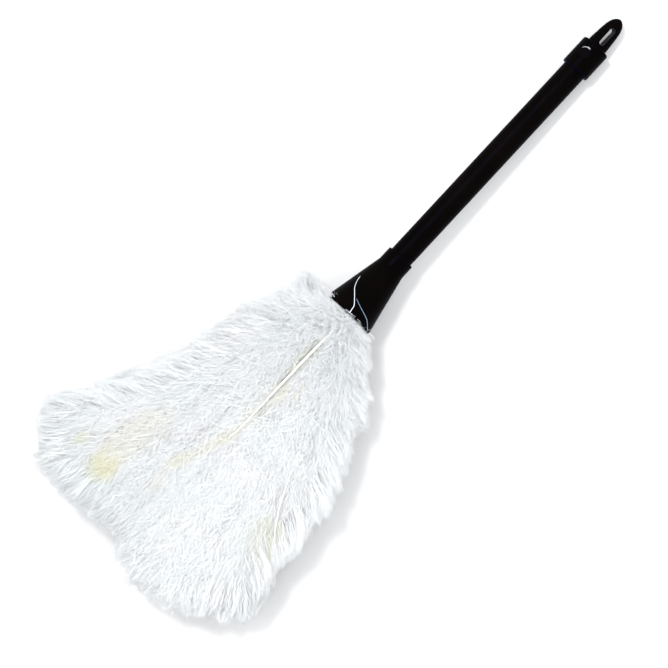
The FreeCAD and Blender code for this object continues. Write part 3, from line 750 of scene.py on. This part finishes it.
def build_feather(f, rng):
    """The shaft and its own barbs."""
    p, t, a, u = f["p"], f["t"], f["a"], f["u"]
    length = len(p) - 1
    outer = f["row"] == "outer"
    facing = u[len(u) // 2][2]
    path = p.copy()
    radius = 0.95 * (1 - np.linspace(0, 1, length + 1)) ** 0.8 + 0.12
    xs = p[:, 0]
    if f["name"] in ("outer_01", SIDE_NAME):
        top_one = f["name"] == "outer_01"
        shaft = TOP_SHAFT if top_one else SIDE_SHAFT
        on = smooth01(xs / 12) if top_one else smooth01((xs - 55) / 32)
        y = np.interp(xs, [q[0] for q in shaft], [q[1] for q in shaft])
        half = np.interp(xs, KNOT_X, T_RIGHT) + 5.0
        mid, top = np.interp(xs, KNOT_X, T_MID), np.interp(xs, KNOT_X, T_TOP)
        z = mid + (top - mid) * np.sqrt(np.clip(1 - (y / half) ** 2, 0.03, 1)) + np.interp(xs, [q[0] for q in shaft], [q[2] for q in shaft])
        z = p[:, 2] * (1 - smooth01(xs / 20)) + z * smooth01(xs / 20)
        path[:, 1] = p[:, 1] * (1 - on) + y * on
        path[:, 2] = p[:, 2] * (1 - on) + z * on
        soft = np.stack([np.convolve(np.pad(path[:, i], 8, "edge"), np.ones(17) / 17, "valid") for i in (1, 2)], 1)
        blend = smooth01((xs + 0.5) / 10)[:, None]
        path[:, 1:] = soft * blend + path[:, 1:] * (1 - blend)
        if top_one:
            radius = np.interp(xs, [0, 20, 45, 70, 90, 127, xs[-1]], [0.95, 0.78, 0.62, 0.46, 0.32, 0.24, 0.1])
        else:
            radius = np.interp(xs, [0, 40, 90, 126, xs[-1]], [0.95, 0.7, 0.26, 0.22, 0.1])
    else:
        path -= u * (2.5 * smooth01((xs - 4) / 24))[:, None]
    step = np.unique(np.append(np.arange(0, length, 3), length))
    v, qd, tr = tube(path[step], radius[step], 8)
    f["parts"].append((v, qd, tr, 1, np.tile([0.93, 0.91, 0.84], (len(v), 1))))
    f["shaft"] = path
    # barbs
    count = {"outer": 640, "middle": 620, "inner": 380}[f["row"]]
    if outer and facing < -0.3:
        count = 460
    n = int(count * MANY)
    m = 4
    s0 = 3.0
    s = s0 + (length - s0 - 1.0) * (np.arange(n) + rng.random(n)) / n
    sd = np.where(rng.random(n) < 0.5, -1.0, 1.0)
    q = (s - s0) / (length - s0)
    full = {"outer": 21.0, "middle": 20.0, "inner": 16.0}[f["row"]]
    long = full * (0.55 + 0.45 * smooth01(q / 0.15)) * (1 - 0.3 * q**3) * (0.7 + 0.4 * rng.random(n))
    az = sd * np.radians(58 - 30 * q + rng.normal(0, 13, n))
    el = np.radians(rng.normal(8 if outer else 6, 15, n))
    tt, aa, uu = sample(t, s), sample(a, s), sample(u, s)
    pts = grow(sample(p, s) - uu * 1.5, tt, aa, uu, az, el, long, rng, m, droop=1.0, curl=0.4, wave=0.6)
    pts, keep = held_in(pts, rng)
    keep &= clear_of_shafts(pts[:, 0], pts[:, -1]) | (not outer)
    pts, uu = pts[keep], uu[keep]
    fr = np.linspace(0, 1, m)
    width = 0.17 * (1 - 0.6 * fr[None, :-1]) * (0.7 + 0.5 * rng.random((len(pts), 1)))
    add_strands([f], np.zeros(len(pts), int), pts, width, width * 0.6, uu, rng.random(len(pts)))


for f in PLUME_FEATHERS:
    build_feather(f, np.random.default_rng(1000 * ROWS.index(f["row"]) + f["k"]))


def ring_owner(phi):
    """Which outer feather holds a place of the surface."""
    local = (phi - unwrapped[0]) % (2 * math.pi) + unwrapped[0]
    edges = (unwrapped[1:] + unwrapped[:-1]) / 2
    return np.searchsorted(edges, local) % 20


def shared_owner(phi, rng):
    """The same, with the feathers beside it in the same tuft taking some of the strands."""
    own = ring_owner(phi)
    other = (own + rng.choice([-1, 0, 1], len(own), p=[0.2, 0.6, 0.2])) % 20
    return np.where(TUFTS[own] == TUFTS[other], other, own)


def down(rng, clusters, per, weight, m, size, low=-1.0, high=188.0, lift=(11, 25)):
    """Tufts of curling down over the surface."""
    phi_c, x_c = scatter(rng, clusters, low, high, weight)
    k = np.repeat(np.arange(clusters), per)
    n = len(k)
    _, _, _, _, per_phi = surface_frame(phi_c, x_c)
    spread = 4.2
    x = x_c[k] + rng.normal(0, spread * 0.8, n)
    off_side = rng.normal(0, spread * 0.6, n)
    phi = phi_c[k] - off_side / np.maximum(per_phi[k], 3.0)
    x = np.maximum(x, 0.5)
    p, flow, nrm, _, _ = surface_frame(phi, x)
    side = np.cross(nrm, flow)
    az_c = rng.normal(0, math.radians(15), clusters)
    el_c = np.radians(rng.uniform(lift[0], lift[1], clusters))
    long_c = 1 + rng.normal(0, 0.14, clusters)
    near = 1 - smooth01((x - 4) / 36)
    long = np.interp(x, [0, 14, 40, 90, 150, 190], [17, 15, 11.5, 9.5, 8.5, 7.5]) * long_c[k] * (0.65 + 0.5 * rng.random(n)) * size
    az = az_c[k] + rng.normal(0, math.radians(14), n) + near * rng.normal(0, 0.5, n) - off_side * 0.05
    el = el_c[k] + rng.normal(0, math.radians(8), n) + near * np.radians(rng.uniform(0, 42, n))
    pts = grow(p - nrm * rng.uniform(0.2, 1.6, n)[:, None], flow, side, nrm, az, el, long, rng, m)
    pts, keep = held_in(pts, rng)
    keep &= clear_of_shafts(pts[:, 0], pts[:, -1])
    keep &= (pts[:, -1, 0] > -6) | (np.abs(pts[:, -1, 1]) > 17)
    fr = np.linspace(0, 1, m)
    width = 0.088 * (1 - 0.55 * fr[None, :-1]) * (0.75 + 0.5 * rng.random((n, 1)))
    strand = np.clip(rng.normal(0.5, 0.25, clusters)[k] * 0.5 + rng.random(n) * 0.5, 0, 1)
    add_strands(OUTER, shared_owner(phi, rng)[keep], pts[keep], width[keep], width[keep] * 0.75, nrm[keep], strand[keep])


down(np.random.default_rng(501), int(2700 * MANY), 33, lambda nrm, x: np.where(nrm[:, 2] > -0.15, 1.0, 0.0), 4, 1.0)
down(np.random.default_rng(502), int(700 * MANY), 18, lambda nrm, x: np.where(nrm[:, 2] > -0.15, 0.0, 1.0), 4, 1.0)


def fringe(rng, per_mm, m, reach=1.0, heights=(0.0, 1.0)):
    """The ragged edge: strands from inside the outline out to it, at every height the plume has there."""
    poly = np.array(OUTLINE[:-1])
    seg = np.linalg.norm(np.diff(poly, axis=0), axis=1)
    along = np.concatenate([[0], np.cumsum(seg)])
    n = int(along[-1] * per_mm)
    tufts = int(along[-1] / (1.7 if reach == 1.0 else 0.55))
    cut_mid = rng.normal(-0.2, 1.6, tufts)
    tuft_of = rng.integers(0, tufts, n)
    s_mid = rng.random(tufts) * along[-1]
    f_mid = rng.beta(1.2, 1.2, tufts)
    long_mid = rng.normal(0, 0.16, tufts)
    turn_mid = rng.normal(0, 0.24, tufts)
    spread = rng.normal(0, 1.5 if reach == 1.0 else 2.3, n)
    s = (s_mid[tuft_of] + spread) % along[-1]
    b = np.stack([np.interp(s, along, poly[:, 0]), np.interp(s, along, poly[:, 1])], 1)
    ahead = np.stack([np.interp(s + 5, along, poly[:, 0]) - np.interp(s - 5, along, poly[:, 0]), np.interp(s + 5, along, poly[:, 1]) - np.interp(s - 5, along, poly[:, 1])], 1)
    out = np.stack([-ahead[:, 1], ahead[:, 0]], 1)
    out /= np.linalg.norm(out, axis=1, keepdims=True) + 1e-9
    out *= np.where(depth(b[:, 0] + 3 * out[:, 0], b[:, 1] + 3 * out[:, 1]) > 0, -1, 1)[:, None]
    flow = b - np.array([-26.0, 0.0])
    flow /= np.linalg.norm(flow, axis=1, keepdims=True)
    lean = out * 0.62 + flow * 0.78
    calm = 0.8 if reach == 1.0 else 0.3
    # each tuft of the edge runs together to a point
    turn = rng.normal(0, 0.07, n) + turn_mid[tuft_of] * calm + spread * (-0.06 if reach == 1.0 else 0.03)
    c, q = np.cos(turn), np.sin(turn)
    lean = np.stack([lean[:, 0] * c - lean[:, 1] * q, lean[:, 0] * q + lean[:, 1] * c], 1)
    lean /= np.linalg.norm(lean, axis=1, keepdims=True)
    far = smooth01((b[:, 0] - 130) / 30)
    near = 1 - smooth01((b[:, 0] - 2) / 34)
    long = (9.0 + 6.0 * rng.random(n)) * (1 + long_mid[tuft_of]) * (1 + 0.55 * near) * (1 - 0.12 * far) * reach
    x = b[:, 0] - lean[:, 0] * long * 0.93
    y = b[:, 1] - lean[:, 1] * long * 0.93
    x = np.maximum(x, -1.0)
    # a height between the underside and the top at that place
    half = np.interp(x, KNOT_X, T_RIGHT)
    half = np.where(y < 0, np.interp(x, KNOT_X, T_LEFT), half)
    t = smooth01((x + 3.0) / 14.0)
    half = half * t + ROW_R_MOUTH["outer"] * (1 - t)
    s_up = np.sqrt(np.clip(1 - (y / np.maximum(half * 1.06, 1)) ** 2, 0.10, 1))
    mid = np.interp(x, KNOT_X, T_MID) * t + (MOUTH_Z + math.tan(TILT) * x) * (1 - t)
    top = mid + (np.interp(x, KNOT_X, T_TOP) - mid) * s_up
    low = mid - (mid - np.interp(x, KNOT_X, T_BOTTOM)) * s_up
    f = heights[0] + (heights[1] - heights[0]) * np.clip(f_mid[tuft_of] + rng.normal(0, 0.07, n), 0.0, 1.0)
    z = low + (top - low) * f
    root = np.stack([x, y, z], 1)
    flow3 = np.stack([lean[:, 0], lean[:, 1], np.zeros(n)], 1)
    nrm = np.tile([0.0, 0.0, 1.0], (n, 1))
    side = np.cross(nrm, flow3)
    el = np.radians(rng.normal(0, 8, n) + (40 * (f - 0.5) if reach == 1.0 else -16.0))
    pts = grow(root, flow3, side, nrm, rng.normal(0, 0.10, n), el, long * 1.06, rng, m, droop=0.3, curl=0.28, wave=0.4)
    pts, keep = held_in(pts, rng, cut_mid[tuft_of] if reach == 1.0 else 1.0)
    owner = nearest_feather(root, OUTER, rng)
    fr = np.linspace(0, 1, m)
    width = 0.1 * (1 - 0.6 * fr[None, :-1]) * (0.75 + 0.5 * rng.random((n, 1)))
    add_strands(OUTER, owner[keep], pts[keep], width[keep], width[keep] * 0.7, nrm[keep], rng.random(n)[keep])


fringe(np.random.default_rng(503), 33 * MANY, 5)
fringe(np.random.default_rng(506), 26 * MANY, 5, reach=1.65, heights=(0.80, 1.06))


def wisps(rng, n, m=5):
    """Down beside the mouth, on the narrow side's hump, that stands out sideways and a little back."""
    groups = 26
    of = rng.integers(0, groups, n)
    x = rng.uniform(0.5, 24, groups)[of] + rng.normal(0, 1.3, n)
    y = -rng.uniform(19, 30, groups)[of] + rng.normal(0, 1.3, n)
    x = np.maximum(x, 0.4)
    half = np.interp(x, KNOT_X, T_LEFT)
    t = smooth01((x + 3.0) / 14.0)
    half = half * t + ROW_R_MOUTH["outer"] * (1 - t)
    s_up = np.sqrt(np.clip(1 - (y / np.maximum(half * 1.06, 1)) ** 2, 0.10, 1))
    mid = np.interp(x, KNOT_X, T_MID) * t + (MOUTH_Z + math.tan(TILT) * x) * (1 - t)
    top = mid + (np.interp(x, KNOT_X, T_TOP) - mid) * s_up
    z = mid + (top - mid) * np.clip(rng.uniform(-0.3, 1.0, groups)[of] + rng.normal(0, 0.1, n), -0.5, 1.05)
    root = np.stack([x, y, z], 1)
    turn = math.atan2(-0.69, -0.60) + rng.normal(0, 0.30, groups)[of] + rng.normal(0, 0.12, n) + 0.5 * (x - 8) / 24
    flow = np.stack([np.cos(turn), np.sin(turn), np.zeros(n)], 1)
    nrm = np.tile([0.0, 0.0, 1.0], (n, 1))
    long = rng.uniform(9, 15, groups)[of] * rng.uniform(0.85, 1.1, n)
    pts = grow(root, flow, np.cross(nrm, flow), nrm, rng.normal(0, 0.08, n), np.radians(rng.normal(4, 8, n)), long, rng, m, droop=0.3, curl=0.28, wave=0.4)
    pts, keep = held_in(pts, rng, rng.normal(-1.6, 1.4, groups)[of])
    for j in range(1, m):
        keep &= (pts[:, j, 0] > 0.4) | (np.hypot(pts[:, j, 1], pts[:, j, 2] - MOUTH_Z) > 18.0)
    owner = nearest_feather(root, OUTER, rng)
    fr = np.linspace(0, 1, m)
    width = 0.1 * (1 - 0.6 * fr[None, :-1]) * (0.75 + 0.5 * rng.random((n, 1)))
    add_strands(OUTER, owner[keep], pts[keep], width[keep], width[keep] * 0.7, nrm[keep], rng.random(n)[keep])


wisps(np.random.default_rng(507), int(2000 * MANY))


def collar(rng, n, m=5):
    """Down standing up out of the ferrule's mouth, some of it curling back to the rim."""
    phi, x = math.pi / 2 + rng.normal(0, 1.15, n), rng.uniform(0.6, 6.0, n)
    p, flow, _, _, _ = surface_frame(phi, x)
    flow[:] = (1.0, 0.0, 0.0)
    nrm = p - np.array([0.0, 0.0, MOUTH_Z])
    nrm[:, 0] = 0
    nrm /= np.linalg.norm(nrm, axis=1, keepdims=True)
    p = p - nrm * rng.uniform(0, 3.0, n)[:, None]
    side = np.cross(nrm, flow)
    back = rng.random(n) < 0.5
    az = np.where(back, math.pi, 0) + rng.normal(0, 0.8, n)
    el = np.radians(np.where(back, rng.uniform(66, 88, n), rng.uniform(38, 85, n)))
    long = rng.uniform(9, 14, n)
    pts = grow(p, flow, side, nrm, az, el, long, rng, m, droop=0.35, curl=0.45, wave=0.5)
    pts, keep = held_in(pts, rng)
    for j in range(1, m):
        q = pts[:, j]
        keep &= (q[:, 0] > 0.35) | ((np.hypot(q[:, 1], q[:, 2] - MOUTH_Z) > 16.0) & (q[:, 0] > -1.3) & (np.abs(q[:, 1]) < 12.5))
    keep &= clear_of_shafts(pts[:, 0], pts[:, -1])
    fr = np.linspace(0, 1, m)
    width = 0.09 * (1 - 0.55 * fr[None, :-1]) * (0.75 + 0.5 * rng.random((n, 1)))
    v, qd, tr = strands(pts[keep], width[keep], width[keep] * 0.75, nrm[keep])
    return v, qd, tr, 0, colour_and_painted_shade_of(v, np.repeat(rng.random(int(keep.sum())), len(v) // int(keep.sum())))



def downy_piece(name, parts):
    """A piece from (verts mm, quads, tris, material index, colours) parts, kept off the floor."""
    built = []
    for v, qd, tr, mi, col in parts:
        v = v + SHIFT
        under = v[:, 2] < FLOOR_CLEAR
        v[under, 2] = FLOOR_CLEAR + (FLOOR_CLEAR - v[under, 2]) * 0.04
        built.append((v, qd, tr, mi))
    ob = mesh_from(name, built)
    # the tint attribute carries the down's colour with its painted shade
    tint = ob.data.color_attributes.new("tint", "FLOAT_COLOR", "POINT")
    rgb = np.concatenate([p[4] for p in parts])
    tint.data.foreach_set("color", np.hstack([rgb, np.ones((len(rgb), 1))]).astype(np.float32).ravel())
    ob.data.materials.append(FEATHER)
    ob.data.materials.append(QUILL)
    return ob


plume = []
for f in PLUME_FEATHERS:
    ob = downy_piece("plume_" + f["name"], f["parts"])
    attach(ob, tuft(f["row"], f["k"]))
    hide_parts("feather_" + f["name"])
    plume.append(ob)

# the down packed in the ferrule's mouth stays with the handle
mouth_down = downy_piece("mouth_down", [collar(np.random.default_rng(505), int(8500 * MANY))])
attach(mouth_down, "handle")

# ------------------------------------------------------------------ stray barbs lying on the ferrule


def on_ferrule(u, v):
    d = Vector(((u - 347.4) * 0.55, (v - 315.0) * 0.55))
    x = -0.68 * d[0] + 0.7332 * d[1]
    y = 0.7332 * d[0] + 0.68 * d[1]
    r = MOUTH_R + (MOUTH_R - NECK_R) / CONE_LENGTH * min(x, 0.0) + 0.12
    y = max(-r * 0.995, min(r * 0.995, y))
    return on_handle(x, y, math.sqrt(r * r - y * y)) * 1000


def stray(points, r0, r1):
    pts = np.array([on_ferrule(*q) for q in points])
    d = np.linspace(0, len(pts) - 1, 26)
    i = np.clip(d.astype(int), 0, len(pts) - 2)
    # Catmull-Rom through the points
    f = (d - i)[:, None]
    ext = np.vstack([2 * pts[0] - pts[1], pts, 2 * pts[-1] - pts[-2]])
    a, b, c, e = ext[i], ext[i + 1], ext[i + 2], ext[i + 3]
    path = 0.5 * (2 * b + (c - a) * f + (2 * a - 5 * b + 4 * c - e) * f**2 + (3 * b - a - 3 * c + e) * f**3)
    return tube(path, np.linspace(r0, r1, len(path)), 6)


fibres = []
rng = np.random.default_rng(91)
for _ in range(9):
    # short fibres caught on the ferrule's rim, mostly along it
    y0, x0, turn, long = rng.uniform(-8, 9), rng.uniform(-1.0, 0.1), rng.normal(0, 0.35), rng.uniform(1.5, 4.5)
    pts = []
    for q in np.linspace(0, 1, 6):
        x = x0 - abs(math.sin(turn)) * long * q * 0.7
        y = y0 + math.cos(turn) * long * q * (1 if y0 < 8 else -1)
        r = MOUTH_R + (MOUTH_R - NECK_R) / CONE_LENGTH * min(x, 0.0) + 0.08
        y = max(-r * 0.985, min(r * 0.985, y))
        pts.append(on_handle(x, y, math.sqrt(r * r - y * y)) * 1000)
    fibres.append(tube(pts, np.linspace(0.09, 0.05, 6), 4) + (0,))

stray_barbs = mesh_from("stray_barbs", fibres[:0] + [
    stray([(348.2, 314.2), (350.5, 310.9), (352.8, 306.8), (353.3, 300.7), (353.6, 293.1), (353.8, 288), (356.6, 281.3), (360.2, 276.2)], 0.22, 0.12) + (0,),
    stray([(366.8, 330.8), (366.3, 324.2), (365.3, 319.6), (361.7, 313), (358.2, 306.3), (355.1, 299.7)], 0.19, 0.10) + (0,),
] + fibres)
tint = stray_barbs.data.color_attributes.new("tint", "FLOAT_COLOR", "POINT")
first = 25 * 6 + 2
tones = np.ones((len(stray_barbs.data.vertices), 4))
tones[:first, :3] = (0.72, 0.77, 0.84)
tones[first:2 * first, :3] = (0.22, 0.32, 0.42)
tones[2 * first:, :3] = (0.66, 0.70, 0.74)
tint.data.foreach_set("color", tones.astype(np.float32).ravel())
stray_barbs.data.materials.append(FEATHER)
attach(stray_barbs, "handle")

# ------------------------------------------------------------------ stage and light
me = bpy.data.meshes.new("floor")
me.from_pydata([(-4, -4, 0), (4, -4, 0), (4, 4, 0), (-4, 4, 0)], [], [(0, 1, 2, 3)])
floor = bpy.data.objects.new("floor", me)
floor.location.z = -0.0002
SCENE.collection.objects.link(floor)
fmat, fnt, fp = new_material("pale_floor")
fp.inputs["Base Color"].default_value = (0.66, 0.66, 0.66, 1)
fp.inputs["Roughness"].default_value = 0.9
fp.inputs["Specular IOR Level"].default_value = 0.1
floor.data.materials.append(fmat)

world = bpy.data.worlds.new("studio")
SCENE.world = world
world.use_nodes = True
world.node_tree.nodes["Background"].inputs[0].default_value = (0.97, 0.985, 1.0, 1)
world.node_tree.nodes["Background"].inputs[1].default_value = 1.62

sun = bpy.data.lights.new("key", "SUN")
sun.energy = 2.0
sun.angle = math.radians(10)
sun_ob = bpy.data.objects.new("key", sun)
SCENE.collection.objects.link(sun_ob)
# from the upper left of the picture
way = (-RIGHT * 0.62 + UP * 0.78)
way = Vector((way.x, way.y, 0)).normalized() * math.sin(math.radians(25)) + Vector((0, 0, math.cos(math.radians(25))))
sun_ob.rotation_euler = way.to_track_quat("Z", "Y").to_euler()

print("triangles", sum(sum(len(q.vertices) - 2 for q in o.data.polygons) for o in plume[:1]), "in the first,", sum(len(o.data.polygons) for o in plume), "polygons in all")
